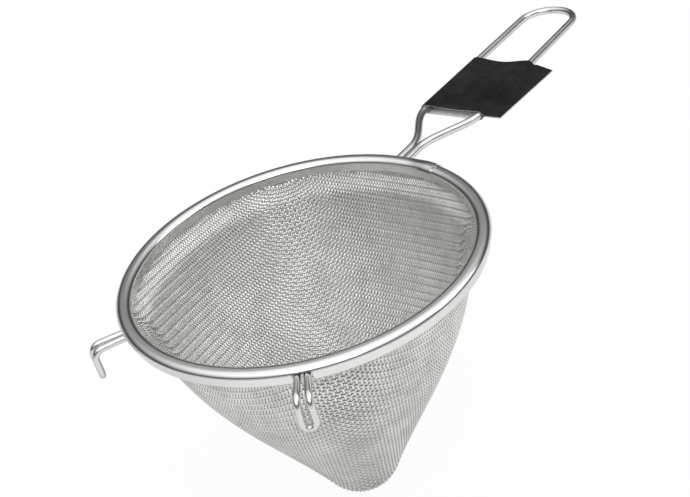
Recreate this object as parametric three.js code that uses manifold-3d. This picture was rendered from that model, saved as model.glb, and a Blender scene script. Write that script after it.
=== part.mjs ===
// Soup strainer: a cone of wire cloth clamped in a channel rim on a wire frame, with a hairpin handle.
// Millimetres, +Z up. The origin is the middle of the rim, level with the undersides of the two hooks,
// where the strainer sits on the edge of a pot. The handle runs along +X.

import * as THREE from 'three';
import { mergeVertices } from 'three/addons/utils/BufferGeometryUtils.js';
import Module from 'manifold-3d';

const wasm = await Module();
wasm.setup();

// Channel rim and the frame wire clamped in it
const rimDiameter = 180;
const outerHeight = 7;
const innerHeight = 6.7;
const capRadius = 3.4;
const capEdge = 20;
const wallInset = 0.5;
const wallLean = 0.9;
const sheet = 0.5;
const frameWire = 4;
const frameDrop = 4;
const lapTurn = -17.3;
const lapLength = 14;
const lapSink = 0.12;

// Basket of wire cloth, with a plain grid of openings for its fine mesh
const cloth = 0.9;
const meshAround = 20;
const meshBar = 3;
const basketDepth = 149.3;
const shoulderBend = 2;
const shoulderIn = 5.6;
const shoulderDrop = 7.1;
const wallPush = 11;
const tipRadius = 21.8;

// Two hooks for the edge of a pot
const hookWire = 3.2;
const leftHookTurn = 149;
const rightHookTurn = -143.5;
const hookReach = 16.4;
const hookDrop = 11.2;
const hookBend = 4.5;
const hookRootHalf = 2.1;
const hookLoopHalf = 3;

// Hairpin handle
const handleWire = 4.2;
const handleReach = 186;
const loopHalf = 16.5;
const flareHalf = 17.4;
const flareStart = 13;
const flareLength = 40;

// Folded sleeve on the handle
const film = 0.5;
const sleeveStart = 52.5;
const sleeveLength = 59;
const flapNear = 10;
const flapFar = 14;
const flapTrim = 6;

// Clearances between pieces
const fitGap = 0.3;
const notchGap = 0.5;
const channelPlay = 0.4;

// How finely the round shapes are divided
const ringSteps = 60;
const wireSides = 10;
const bendSteps = 3;
const lapSteps = 4;
const tipSteps = 5;
const meshColumns = 2;
const hookSteps = 40;
const handleSteps = 72;
const mergeTolerance = 1e-4;

// Radii and levels that follow from the sizes above
const rimRadius = rimDiameter / 2;
const rimWidth = 2 * (wallInset + sheet) + cloth + frameWire + 3 * fitGap + channelPlay;
const rimTop = frameDrop + hookWire / 2;
const wireLevel = rimTop - frameDrop;
const outerWall = rimRadius - wallInset - sheet / 2;
const innerWall = rimRadius - rimWidth + wallInset + sheet / 2;
const outerWallEnd = rimTop - outerHeight;
const innerWallEnd = rimTop - innerHeight;
const hemRadius = innerWall + sheet / 2 + fitGap + cloth / 2;
const frameRadius = hemRadius + cloth / 2 + fitGap + frameWire / 2;
const wireTail = frameRadius + frameWire / 2 + fitGap;

// Geometry to solid and back, for the cuts and joins
function toSolid(geometry) {
  const bare = geometry.clone();
  bare.deleteAttribute('normal');
  bare.deleteAttribute('uv');
  const merged = mergeVertices(bare, mergeTolerance);
  const vertProperties = new Float32Array(merged.attributes.position.array);
  const triVerts = new Uint32Array(merged.index.array);
  return new wasm.Manifold(new wasm.Mesh({ numProp: 3, vertProperties, triVerts }));
}

function toGeometry(solid) {
  const { vertProperties, triVerts } = solid.getMesh();
  const geometry = new THREE.BufferGeometry();
  geometry.setAttribute('position', new THREE.BufferAttribute(vertProperties, 3));
  geometry.setIndex(new THREE.BufferAttribute(triVerts, 1));
  geometry.computeVertexNormals();
  return geometry;
}

// A line in the (radius, height) half-plane shifted sideways, to its right for a positive distance
function shifted(line, distance) {
  return line.map((point, i) => {
    const before = line[Math.max(i - 1, 0)];
    const after = line[Math.min(i + 1, line.length - 1)];
    const along = after.clone().sub(before).normalize();
    return new THREE.Vector2(point.x + along.y * distance, point.y - along.x * distance);
  });
}

// A profile turned about +Z
function turned(profile) {
  const geometry = new THREE.LatheGeometry(profile, ringSteps);
  geometry.rotateX(Math.PI / 2);
  return geometry;
}

// A round wire along a curve
function wireAlong(curve, diameter, steps) {
  const section = new THREE.Shape();
  section.absarc(0, 0, diameter / 2, 0, 2 * Math.PI);
  return new THREE.ExtrudeGeometry(section, {
    extrudePath: curve,
    steps,
    curveSegments: wireSides / 2,
  });
}

// A hairpin curve, given as the run of one half from its tail to the middle of the loop.
// The half run takes a distance and gives (out, sideways, up); the other half is its mirror image.
class Hairpin extends THREE.Curve {
  constructor(halfRun, halfLength) {
    super();
    this.halfRun = halfRun;
    this.halfLength = halfLength;
  }

  getPoint(t) {
    const distance = (1 - Math.abs(2 * t - 1)) * this.halfLength;
    const point = this.halfRun(distance);
    if (t > 0.5) {
      point.y = -point.y;
    }
    return point;
  }
}

// Rim: one strip bent over as a rounded cap, with an outer and an inner wall set in under its edges
function rimLine() {
  const edge = THREE.MathUtils.degToRad(capEdge);
  const capLevel = rimTop - capRadius;
  const capMiddle = capRadius - sheet / 2;
  const outerCentre = rimRadius - capRadius;
  const innerCentre = rimRadius - rimWidth + capRadius;
  const wallTop = capLevel + capRadius * Math.sin(edge) - wallInset;
  const path = new THREE.Path();
  path.moveTo(outerWall - wallLean, outerWallEnd);
  path.lineTo(outerWall, wallTop);
  path.absarc(outerCentre, capLevel, capMiddle, edge, Math.PI / 2, false);
  path.absarc(innerCentre, capLevel, capMiddle, Math.PI / 2, Math.PI - edge, false);
  path.lineTo(innerWall, wallTop);
  path.lineTo(innerWall, innerWallEnd);
  return path.getPoints(bendSteps);
}

// The strip's upper end lapped over its lower end: it starts at a raised edge and sinks back into the strip
function rimLap(line) {
  const inside = line.slice(0, -1);
  const count = 2 * inside.length;
  const positions = [];
  const index = [];
  for (let step = 0; step <= lapSteps; step += 1) {
    const share = step / lapSteps;
    const rise = THREE.MathUtils.lerp(sheet, -lapSink, share);
    const loop = [...shifted(inside, sheet / 2 + rise), ...inside.slice().reverse()];
    const turn = THREE.MathUtils.degToRad(lapTurn) + (share * lapLength) / rimRadius;
    loop.forEach((point) => {
      positions.push(point.x * Math.cos(turn), point.x * Math.sin(turn), point.y);
    });
  }
  for (let step = 0; step < lapSteps; step += 1) {
    for (let i = 0; i < count; i += 1) {
      const a = step * count + i;
      const b = step * count + ((i + 1) % count);
      index.push(a, b + count, b, a, a + count, b + count);
    }
  }
  const last = lapSteps * count;
  for (let i = 0; i < inside.length - 1; i += 1) {
    const mirror = count - 1 - i;
    index.push(i, i + 1, mirror, i + 1, mirror - 1, mirror);
    index.push(last + i, last + mirror, last + i + 1, last + i + 1, last + mirror, last + mirror - 1);
  }
  const geometry = new THREE.BufferGeometry();
  geometry.setAttribute('position', new THREE.Float32BufferAttribute(positions, 3));
  geometry.setIndex(index);
  return geometry;
}

// A cut in the outer wall that lets a pair of wires out
function notch(pairWidth, wire, turn) {
  const bottom = outerWallEnd - sheet;
  const depth = rimRadius + sheet - frameRadius;
  const height = wireLevel + wire / 2 + notchGap - bottom;
  const box = new THREE.BoxGeometry(depth, pairWidth + 2 * notchGap, height);
  box.translate(frameRadius + depth / 2, 0, bottom + height / 2);
  box.rotateZ(THREE.MathUtils.degToRad(turn));
  return toSolid(box);
}

function rimBand() {
  const line = rimLine();
  const outside = shifted(line, sheet / 2);
  const inside = shifted(line, -sheet / 2).reverse();
  const hookPair = 2 * hookRootHalf + hookWire;
  const handlePair = 2 * handleWire + fitGap;
  const solid = toSolid(turned([...outside, ...inside, outside[0]]))
    .add(toSolid(rimLap(line)))
    .subtract(notch(hookPair, hookWire, leftHookTurn))
    .subtract(notch(hookPair, hookWire, rightHookTurn))
    .subtract(notch(handlePair, handleWire, 0));
  return toGeometry(solid);
}

// Frame: a closed ring of wire inside the rim, to which hooks and handle are welded
function frameRing() {
  const ring = new THREE.TorusGeometry(frameRadius, frameWire / 2, wireSides, ringSteps);
  ring.translate(0, 0, wireLevel);
  return ring;
}

// Basket: hem inside the rim, a narrow shoulder, a wall that straightens downwards, a round tip.
// The wall has rows of openings about as tall as wide, so that the rows get lower towards the tip.
function basketLine() {
  const hemEnd = innerWallEnd - shoulderBend;
  const top = new THREE.Vector2(hemRadius - shoulderIn, hemEnd - shoulderDrop);
  const radius = tipRadius - cloth / 2;
  const centre = new THREE.Vector2(0, rimTop - basketDepth + tipRadius);
  const reach = top.clone().sub(centre);
  const slope = Math.atan2(reach.x, reach.y) - Math.asin(radius / reach.length());
  const foot = new THREE.Vector2(Math.cos(slope), -Math.sin(slope)).multiplyScalar(radius).add(centre);
  const third = foot.clone().sub(top).divideScalar(3);
  const push = new THREE.Vector2(Math.cos(slope), -Math.sin(slope)).multiplyScalar(wallPush);
  const upper = top.clone().add(third).add(push);
  const lower = foot.clone().sub(third);
  const shoulder = new THREE.Vector2(-shoulderIn, -shoulderDrop).setLength(shoulderBend);
  const wallTop = upper.clone().sub(top).setLength(shoulderBend).add(top);
  const hem = new THREE.Vector2(hemRadius, hemEnd);
  const hemStart = new THREE.Vector2(hemRadius, hemEnd + shoulderBend);
  const hemBend = new THREE.QuadraticBezierCurve(hemStart, hem, hem.clone().add(shoulder));
  const wallBend = new THREE.QuadraticBezierCurve(top.clone().sub(shoulder), top, wallTop);
  const wall = new THREE.CubicBezierCurve(wallTop, upper, lower, foot);
  const tip = new THREE.EllipseCurve(centre.x, centre.y, radius, radius, -slope, -Math.PI / 2, true);
  const line = [
    new THREE.Vector2(hemRadius, wireLevel + frameWire / 2),
    ...hemBend.getPoints(bendSteps),
    ...wallBend.getPoints(bendSteps),
  ];
  const openRows = new Set();
  const length = wall.getLength();
  const opening = (start) => (2 * Math.PI * wall.getPointAt(start / length).x) / meshAround - meshBar;
  let start = meshBar;
  while (start < length && start + opening(start) < length) {
    const end = start + opening(start);
    openRows.add(line.length);
    line.push(wall.getPointAt(start / length), wall.getPointAt(end / length));
    start = end + meshBar;
  }
  line.push(...tip.getPoints(tipSteps));
  return { line, openRows };
}

// The cloth as a grid of rows down the line and columns round it, the last column of each mesh being a bar
class ClothGrid {
  constructor({ line, openRows }) {
    this.faces = [shifted(line, -cloth / 2), shifted(line, cloth / 2)];
    this.rows = line.length;
    this.perMesh = meshColumns + 1;
    this.columns = this.perMesh * meshAround;
    this.openRows = openRows;
    this.index = [];
  }

  // Turn of a column; where the bars would fill a narrow row, all columns are alike
  turn(column, radius) {
    const pitch = (2 * Math.PI) / meshAround;
    const bar = Math.min(meshBar / radius, pitch / this.perMesh);
    const inMesh = ((column % this.perMesh) * (pitch - bar)) / meshColumns;
    return Math.floor(column / this.perMesh) * pitch + bar / 2 + inMesh;
  }

  positions() {
    const columns = Array.from({ length: this.columns }, (_, column) => column);
    const places = this.faces.flatMap((face) => face.map((point, row) => {
      const radius = row === this.rows - 1 ? 0 : point.x;
      const turns = columns.map((column) => this.turn(column, radius));
      return turns.map((turn) => [radius * Math.cos(turn), radius * Math.sin(turn), point.y]);
    }));
    return places.flat(2);
  }

  // Number of a point; the last row is one point on the axis
  number(face, row, column) {
    const place = row === this.rows - 1 ? 0 : column % this.columns;
    return (face * this.rows + row) * this.columns + place;
  }

  addQuad([a, b, c, d]) {
    [[a, b, c], [a, c, d]]
      .filter((corners) => new Set(corners).size === corners.length)
      .forEach((corners) => this.index.push(...corners));
  }

  // A field of the grid: two faces of cloth, or the edges of an opening
  addField(row, column) {
    const [outer, inner] = [0, 1].map((face) => [
      this.number(face, row, column),
      this.number(face, row, column + 1),
      this.number(face, row + 1, column + 1),
      this.number(face, row + 1, column),
    ]);
    const edge = (start, end) => this.addQuad([outer[start], outer[end], inner[end], inner[start]]);
    const inMesh = column % this.perMesh;
    const isOpen = this.openRows.has(row) && inMesh < meshColumns;
    if (isOpen) {
      edge(1, 0);
      edge(3, 2);
    } else {
      this.addQuad([...outer].reverse());
      this.addQuad(inner);
    }
    if (isOpen && inMesh === 0) {
      edge(0, 3);
    }
    if (isOpen && inMesh === meshColumns - 1) {
      edge(2, 1);
    }
    if (row === 0) {
      edge(0, 1);
    }
  }

  geometry() {
    for (let row = 0; row < this.rows - 1; row += 1) {
      for (let column = 0; column < this.columns; column += 1) {
        this.addField(row, column);
      }
    }
    const geometry = new THREE.BufferGeometry();
    geometry.setAttribute('position', new THREE.Float32BufferAttribute(this.positions(), 3));
    geometry.setIndex(this.index);
    return toGeometry(toSolid(geometry));
  }
}

function meshBasket() {
  return new ClothGrid(basketLine()).geometry();
}

// Hook: two legs out from under the cap, a bend downwards, and a loop at the bottom
function hook(turn) {
  const bendStart = rimRadius + hookReach - hookWire / 2 - hookBend;
  const run = bendStart - wireTail;
  const bend = (Math.PI / 2) * hookBend;
  const legs = run + bend + hookDrop - hookBend;
  const halfRun = (distance) => {
    const along = Math.min(distance, legs);
    const half = hookRootHalf + ((hookLoopHalf - hookRootHalf) * along) / legs;
    const bent = THREE.MathUtils.clamp((along - run) / hookBend, 0, Math.PI / 2);
    const fall = Math.max(along - run - bend, 0);
    const sweep = Math.max(distance - legs, 0) / hookLoopHalf;
    return new THREE.Vector3(
      wireTail + Math.min(along, run) + hookBend * Math.sin(bent),
      half * Math.cos(sweep),
      wireLevel - hookBend * (1 - Math.cos(bent)) - fall - hookLoopHalf * Math.sin(sweep),
    );
  };
  const curve = new Hairpin(halfRun, legs + (Math.PI / 2) * hookLoopHalf);
  const geometry = wireAlong(curve, hookWire, hookSteps);
  geometry.rotateZ(THREE.MathUtils.degToRad(turn));
  return geometry;
}

// Handle: two legs side by side at the rim, flared apart, narrowing slightly, closed by a half circle
function handle() {
  const pairHalf = (handleWire + fitGap) / 2;
  const flare = rimRadius + flareStart;
  const flareEnd = flare + flareLength;
  const loopCentre = rimRadius + handleReach - handleWire / 2 - loopHalf;
  const legs = loopCentre - wireTail;
  const halfRun = (distance) => {
    const x = wireTail + Math.min(distance, legs);
    const narrowed = THREE.MathUtils.mapLinear(Math.max(x, flareEnd), flareEnd, loopCentre, flareHalf, loopHalf);
    const spread = THREE.MathUtils.smoothstep(x, flare, flareEnd);
    const half = pairHalf + (narrowed - pairHalf) * spread;
    const sweep = Math.max(distance - legs, 0) / loopHalf;
    return new THREE.Vector3(x + loopHalf * Math.sin(sweep), half * Math.cos(sweep), wireLevel);
  };
  const curve = new Hairpin(halfRun, legs + (Math.PI / 2) * loopHalf);
  return wireAlong(curve, handleWire, handleSteps);
}

// Sleeve: a film folded round both legs, its two layers joined in a flap beyond one leg
function sleeve() {
  const inner = handleWire / 2 + fitGap;
  const outer = inner + film;
  const quarter = Math.PI / 4;
  const half = Math.max(flareHalf, loopHalf);
  const flapRoot = half + Math.SQRT2 * outer - film;
  const flapEdge = flapRoot + flapNear;
  const section = new THREE.Shape();
  section.absarc(half, 0, outer, -2 * quarter, 2 * quarter, false);
  section.absarc(-half, 0, outer, 2 * quarter, 3 * quarter, false);
  section.lineTo(-flapRoot, film);
  section.lineTo(-flapEdge, film);
  section.lineTo(-flapEdge, -film);
  section.lineTo(-flapRoot, -film);
  section.absarc(-half, 0, outer, 5 * quarter, 6 * quarter, false);
  section.closePath();
  const hollow = new THREE.Path();
  hollow.absarc(half, 0, inner, -2 * quarter, 2 * quarter, false);
  hollow.absarc(-half, 0, inner, 2 * quarter, 3 * quarter, false);
  hollow.lineTo(-half - Math.SQRT2 * inner, 0);
  hollow.absarc(-half, 0, inner, 5 * quarter, 6 * quarter, false);
  hollow.closePath();
  section.holes.push(hollow);
  const geometry = new THREE.ExtrudeGeometry(section, {
    depth: sleeveLength,
    bevelEnabled: false,
    curveSegments: bendSteps,
  });
  const across = new THREE.Vector3(0, 1, 0);
  const up = new THREE.Vector3(0, 0, 1);
  const along = new THREE.Vector3(1, 0, 0);
  geometry.applyMatrix4(new THREE.Matrix4().makeBasis(across, up, along));
  const position = geometry.attributes.position;
  for (let i = 0; i < position.count; i += 1) {
    if (position.getY(i) < -flapRoot - flapNear / 2) {
      const share = position.getX(i) / sleeveLength;
      position.setY(i, position.getY(i) - share * (flapFar - flapNear));
      position.setX(i, position.getX(i) - share * flapTrim);
    }
  }
  geometry.translate(rimRadius + sleeveStart, 0, wireLevel);
  return geometry;
}

// Finishes
function steel(colour, roughness) {
  return new THREE.MeshStandardMaterial({ color: colour, roughness, metalness: 0.9 });
}

function filmFinish() {
  return new THREE.MeshStandardMaterial({ color: 0x1b1b1d, roughness: 0.35, metalness: 0 });
}

// The assembly
const group = new THREE.Group();

function addPiece(name, geometry, material) {
  const mesh = new THREE.Mesh(geometry, material);
  mesh.name = name;
  group.add(mesh);
}

addPiece('rim_band', rimBand(), steel(0xdcdcd9, 0.15));
addPiece('frame_ring', frameRing(), steel(0xb9b9b5, 0.35));
addPiece('mesh_basket', meshBasket(), steel(0xc9c8c2, 0.45));
addPiece('hook_left', hook(leftHookTurn), steel(0xd0d0cd, 0.2));
addPiece('hook_right', hook(rightHookTurn), steel(0xd0d0cd, 0.2));
addPiece('handle_wire', handle(), steel(0xd0d0cd, 0.2));
addPiece('label_sleeve', sleeve(), filmFinish());

export default group;
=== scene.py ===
"""Looks of a soup strainer: a cone of woven wire, a folded rim, two hooks, a wire handle, a plain sleeve.

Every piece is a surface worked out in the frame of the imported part: millimetres in the formulas, metres in
the meshes, +Z up, the handle along +X, the origin in the middle of the rim at the hooks' undersides.
"""

import logging
import math
from dataclasses import dataclass, field
from enum import Enum

import bpy
import numpy as np
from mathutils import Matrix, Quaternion, Vector


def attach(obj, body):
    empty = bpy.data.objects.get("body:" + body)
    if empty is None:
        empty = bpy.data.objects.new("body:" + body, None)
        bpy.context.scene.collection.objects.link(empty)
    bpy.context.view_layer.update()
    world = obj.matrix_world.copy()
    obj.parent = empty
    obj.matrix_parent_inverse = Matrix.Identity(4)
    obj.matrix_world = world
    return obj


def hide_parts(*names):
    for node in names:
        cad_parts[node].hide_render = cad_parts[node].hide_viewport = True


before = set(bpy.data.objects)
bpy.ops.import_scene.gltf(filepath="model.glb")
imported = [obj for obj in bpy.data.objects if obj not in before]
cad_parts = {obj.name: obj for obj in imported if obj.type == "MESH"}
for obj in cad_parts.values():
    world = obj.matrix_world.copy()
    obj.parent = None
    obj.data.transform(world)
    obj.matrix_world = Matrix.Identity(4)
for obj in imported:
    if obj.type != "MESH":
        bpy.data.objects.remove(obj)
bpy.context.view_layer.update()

Array = np.ndarray
MM = 0.001
TINY = 1e-6
LOG = logging.getLogger("strainer")


class Body(Enum):
    """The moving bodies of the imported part."""

    STRAINER = "strainer"
    SLEEVE = "sleeve"


class EndCap(Enum):
    """How the first and last ring of a swept surface are closed."""

    FLAT = "one flat face"
    LADDER = "faces across a thin closed strip"


@dataclass(frozen=True)
class Sizes:
    """Sizes shared by the pieces, in millimetres and degrees."""

    rim_diameter: float = 180.0
    outer_height: float = 7.0
    inner_height: float = 6.7
    cap_radius: float = 3.4
    cap_edge: float = 20.0
    wall_inset: float = 0.5
    wall_lean: float = 0.9
    sheet: float = 0.5
    frame_wire: float = 4.0
    frame_drop: float = 4.0
    cloth: float = 0.9
    hook_wire: float = 3.2
    hook_root_half: float = 2.1
    left_hook_turn: float = 149.0
    right_hook_turn: float = -143.5
    handle_wire: float = 4.2
    fit_gap: float = 0.3
    notch_gap: float = 0.5
    channel_play: float = 0.4

    @property
    def rim_radius(self) -> float:
        """Outer radius of the rim."""
        return self.rim_diameter / 2

    @property
    def rim_width(self) -> float:
        """Width of the channel that holds cloth and frame wire."""
        held = self.cloth + self.frame_wire + 3 * self.fit_gap + self.channel_play
        return 2 * (self.wall_inset + self.sheet) + held

    @property
    def rim_top(self) -> float:
        """Level of the top of the rim."""
        return self.frame_drop + self.hook_wire / 2

    @property
    def wire_level(self) -> float:
        """Level of the middle of the frame wire, the hooks' legs and the handle."""
        return self.rim_top - self.frame_drop

    @property
    def outer_wall(self) -> float:
        """Radius of the middle of the outer wall at its top."""
        return self.rim_radius - self.wall_inset - self.sheet / 2

    @property
    def inner_wall(self) -> float:
        """Radius of the middle of the inner wall."""
        return self.rim_radius - self.rim_width + self.wall_inset + self.sheet / 2

    @property
    def outer_wall_end(self) -> float:
        """Level of the lower edge of the outer wall."""
        return self.rim_top - self.outer_height

    @property
    def inner_wall_end(self) -> float:
        """Level of the lower edge of the inner wall."""
        return self.rim_top - self.inner_height

    @property
    def hem_radius(self) -> float:
        """Radius of the cloth's hem inside the channel."""
        return self.inner_wall + self.sheet / 2 + self.fit_gap + self.cloth / 2

    @property
    def frame_radius(self) -> float:
        """Radius of the frame ring."""
        return self.hem_radius + self.cloth / 2 + self.fit_gap + self.frame_wire / 2

    @property
    def wire_tail(self) -> float:
        """Radius at which hooks and handle meet the frame ring."""
        return self.frame_radius + self.frame_wire / 2 + self.fit_gap


SIZES = Sizes()


# Surfaces


def unit(vectors: Array) -> Array:
    """Vectors of length one.

    Args:
        vectors: vectors along the last axis.
    Returns:
        The same vectors divided by their lengths.
    """
    return vectors / np.linalg.norm(vectors, axis=-1, keepdims=True)


def ease(value: Array, start: float, end: float) -> Array:
    """Smooth step: 0 before start, 1 after end, 3t² − 2t³ between.

    Args:
        value: where the step is read.
        start: where it leaves 0.
        end: where it reaches 1.
    Returns:
        The step at each value.
    """
    t = np.clip((value - start) / (end - start), 0.0, 1.0)
    return t * t * (3 - 2 * t)


def running_length(points: Array) -> Array:
    """Distance along a line of points, counted from its first point.

    Args:
        points: the line, one point to a row.
    Returns:
        One distance for each point.
    """
    steps = np.linalg.norm(np.diff(points, axis=0), axis=1)
    return np.concatenate([[0.0], np.cumsum(steps)])


def drawn_curve(points: list[Array], steps: int) -> Array:
    """Curve from the first point to the last that leans towards the ones between.

    Points that divide each stretch in the same share are joined and divided again, until one is left.

    Args:
        points: the curve's ends and the points that it leans towards.
        steps: how many points it gets.
    Returns:
        The curve, one point to a row.
    """
    share = np.linspace(0, 1, steps)[:, None]
    rows = [point + 0 * share for point in points]
    while len(rows) > 1:
        rows = [near + share * (far - near) for near, far in zip(rows, rows[1:])]
    return rows[0]


def carried_frames(path: Array) -> tuple[Array, Array]:
    """Two directions square to a path, carried along it without twist.

    Each station's side vector is the one before it, less its part along the new tangent, made unit again.

    Args:
        path: the path's points, one to a row.
    Returns:
        The side vectors and the vectors square to side and path.
    """
    tangents = unit(np.gradient(path, axis=0))
    start = np.cross(tangents[0], np.eye(3)[np.argmin(np.abs(tangents[0]))])
    sides = np.empty_like(path)
    side = start
    for i, tangent in enumerate(tangents):
        side = unit(side - np.dot(side, tangent) * tangent)
        sides[i] = side
    return sides, np.cross(tangents, sides)


def tube(path: Array, radius: float, sides: int) -> Array:
    """Round wire along a path: the path plus radius times (cos a, sin a) in the carried directions.

    Args:
        path: the wire's middle line, one point to a row.
        radius: the wire's radius.
        sides: points round the wire.
    Returns:
        A grid of points, one ring to a row.
    """
    side, up = carried_frames(path)
    turn = np.linspace(0, 2 * np.pi, sides, endpoint=False)
    ring = np.cos(turn)[None, :, None] * side[:, None] + np.sin(turn)[None, :, None] * up[:, None]
    return path[:, None] + radius * ring


def grid_faces(rows: int, columns: int, rows_closed: bool) -> Array:
    """Four-cornered faces of a grid whose columns close on themselves.

    Args:
        rows: number of rings.
        columns: points in a ring.
        rows_closed: whether the last ring joins the first.
    Returns:
        Four point numbers to a row, in the order of the rings.
    """
    steps = rows if rows_closed else rows - 1
    row, column = np.meshgrid(np.arange(steps), np.arange(columns), indexing="ij")
    next_row = (row + 1) % rows
    next_column = (column + 1) % columns
    corners = [
        row * columns + column,
        next_row * columns + column,
        next_row * columns + next_column,
        row * columns + next_column,
    ]
    return np.stack(corners, axis=-1).reshape(-1, 4)


def enclosed_volume(vertices: Array, quads: Array) -> float:
    """Signed volume inside a closed mesh: a sixth of the sum of each triangle's triple product.

    Args:
        vertices: the points.
        quads: four point numbers to a row.
    Returns:
        The volume, negative where the faces point inwards.
    """
    a, b, c, d = (vertices[quads[:, i]] for i in range(4))
    triple = np.einsum("ij,ij->i", a, np.cross(b, c)) + np.einsum("ij,ij->i", a, np.cross(c, d))
    return float(triple.sum() / 6)


@dataclass
class Sweep:
    """A closed surface given as a grid of rings, ready to become a mesh."""

    points: Array
    rows_closed: bool = False
    cap: EndCap = EndCap.FLAT
    marks: dict[str, Array] = field(default_factory=dict)

    def end_faces(self) -> list[list[int]]:
        """Close the first and the last ring, unless the rings themselves close.

        Returns:
            Point numbers of each face.
        """
        if self.rows_closed:
            return []
        rows, columns = self.points.shape[:2]
        last = (rows - 1) * columns
        if self.cap is EndCap.FLAT:
            first = np.arange(columns)
            return [first[::-1].tolist(), (last + first).tolist()]
        near = np.arange(columns // 2 - 1)
        far = columns - 1 - near
        first = np.stack([near, near + 1, far - 1, far], axis=1)
        return first.tolist() + (last + first)[:, ::-1].tolist()

    def make(self, name: str, sharp: float = 40.0) -> bpy.types.Object:
        """Turn the grid into an object whose UV map holds metres along and across the surface.

        Args:
            name: the piece's name.
            sharp: edges that bend by more degrees than this stay sharp.
        Returns:
            The new object, at the origin.
        """
        rows, columns = self.points.shape[:2]
        vertices = self.points.reshape(-1, 3)
        quads = grid_faces(rows, columns, self.rows_closed)
        ends = self.end_faces()
        if enclosed_volume(vertices, quads) < 0:
            quads = quads[:, ::-1]
            ends = [face[::-1] for face in ends]
        obj = make_object(name, vertices, quads.tolist() + ends, sharp)
        self.add_uv(obj, len(quads))
        for title, values in self.marks.items():
            add_mark(obj, title, values)
        return obj

    def add_uv(self, obj: bpy.types.Object, quad_count: int) -> None:
        """Write distances along the first column and round the first ring as UV, with the seams left open.

        Args:
            obj: the object made from this grid.
            quad_count: how many of its faces come from the grid.
        """
        rows, columns = self.points.shape[:2]
        along = running_length(self.points[:, 0]) * MM
        around = running_length(self.points[0]) * MM
        loops = np.empty(len(obj.data.loops), np.int32)
        obj.data.loops.foreach_get("vertex_index", loops)
        u = along[loops // columns].astype(np.float32)
        v = around[loops % columns].astype(np.float32)
        grid_u = u[: 4 * quad_count].reshape(-1, 4)
        grid_v = v[: 4 * quad_count].reshape(-1, 4)
        wraps = np.ptp(grid_v, axis=1) > around[-1] / 2
        grid_v[wraps] += np.where(grid_v[wraps] < around[-1] / 2, around[-1], 0).astype(np.float32)
        if self.rows_closed:
            wraps = np.ptp(grid_u, axis=1) > along[-1] / 2
            grid_u[wraps] += np.where(grid_u[wraps] < along[-1] / 2, along[-1], 0).astype(np.float32)
        layer = obj.data.uv_layers.new(name="lengths")
        layer.data.foreach_set("uv", np.stack([u, v], axis=1).ravel())


def make_object(name: str, vertices: Array, faces: list[list[int]], sharp: float) -> bpy.types.Object:
    """Put points and faces into a smooth-shaded object at the origin.

    Args:
        name: the piece's name.
        vertices: points in millimetres.
        faces: point numbers of each face.
        sharp: edges that bend by more degrees than this stay sharp.
    Returns:
        The new object.
    """
    mesh = bpy.data.meshes.new(name)
    mesh.from_pydata((vertices * MM).tolist(), [], faces)
    mesh.polygons.foreach_set("use_smooth", np.ones(len(mesh.polygons), bool))
    mesh.set_sharp_from_angle(angle=math.radians(sharp))
    mesh.update()
    obj = bpy.data.objects.new(name, mesh)
    bpy.context.scene.collection.objects.link(obj)
    return obj


def add_mark(obj: bpy.types.Object, title: str, values: Array) -> None:
    """Store a value at each point of a piece, for its finish to read.

    Args:
        obj: the piece.
        title: the attribute's name.
        values: one value to a point.
    """
    layer = obj.data.attributes.new(title, "FLOAT", "POINT")
    layer.data.foreach_set("value", values.astype(np.float32).ravel())


def settle(obj: bpy.types.Object, body: Body, node: str, look: bpy.types.Material) -> None:
    """Hang a piece on its body, give it its finish and let it stand for its CAD node.

    Args:
        obj: the piece.
        body: the body that it moves with.
        node: the CAD node that it replaces.
        look: its material.
    """
    obj.data.materials.append(look)
    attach(obj, body.value)
    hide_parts(node)
    LOG.info("%s: %d faces on %s", obj.name, len(obj.data.polygons), body.value)


# Finishes


Socket = bpy.types.NodeSocket
Colour = tuple[float, float, float, float]
Value = Socket | float | Colour


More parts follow.
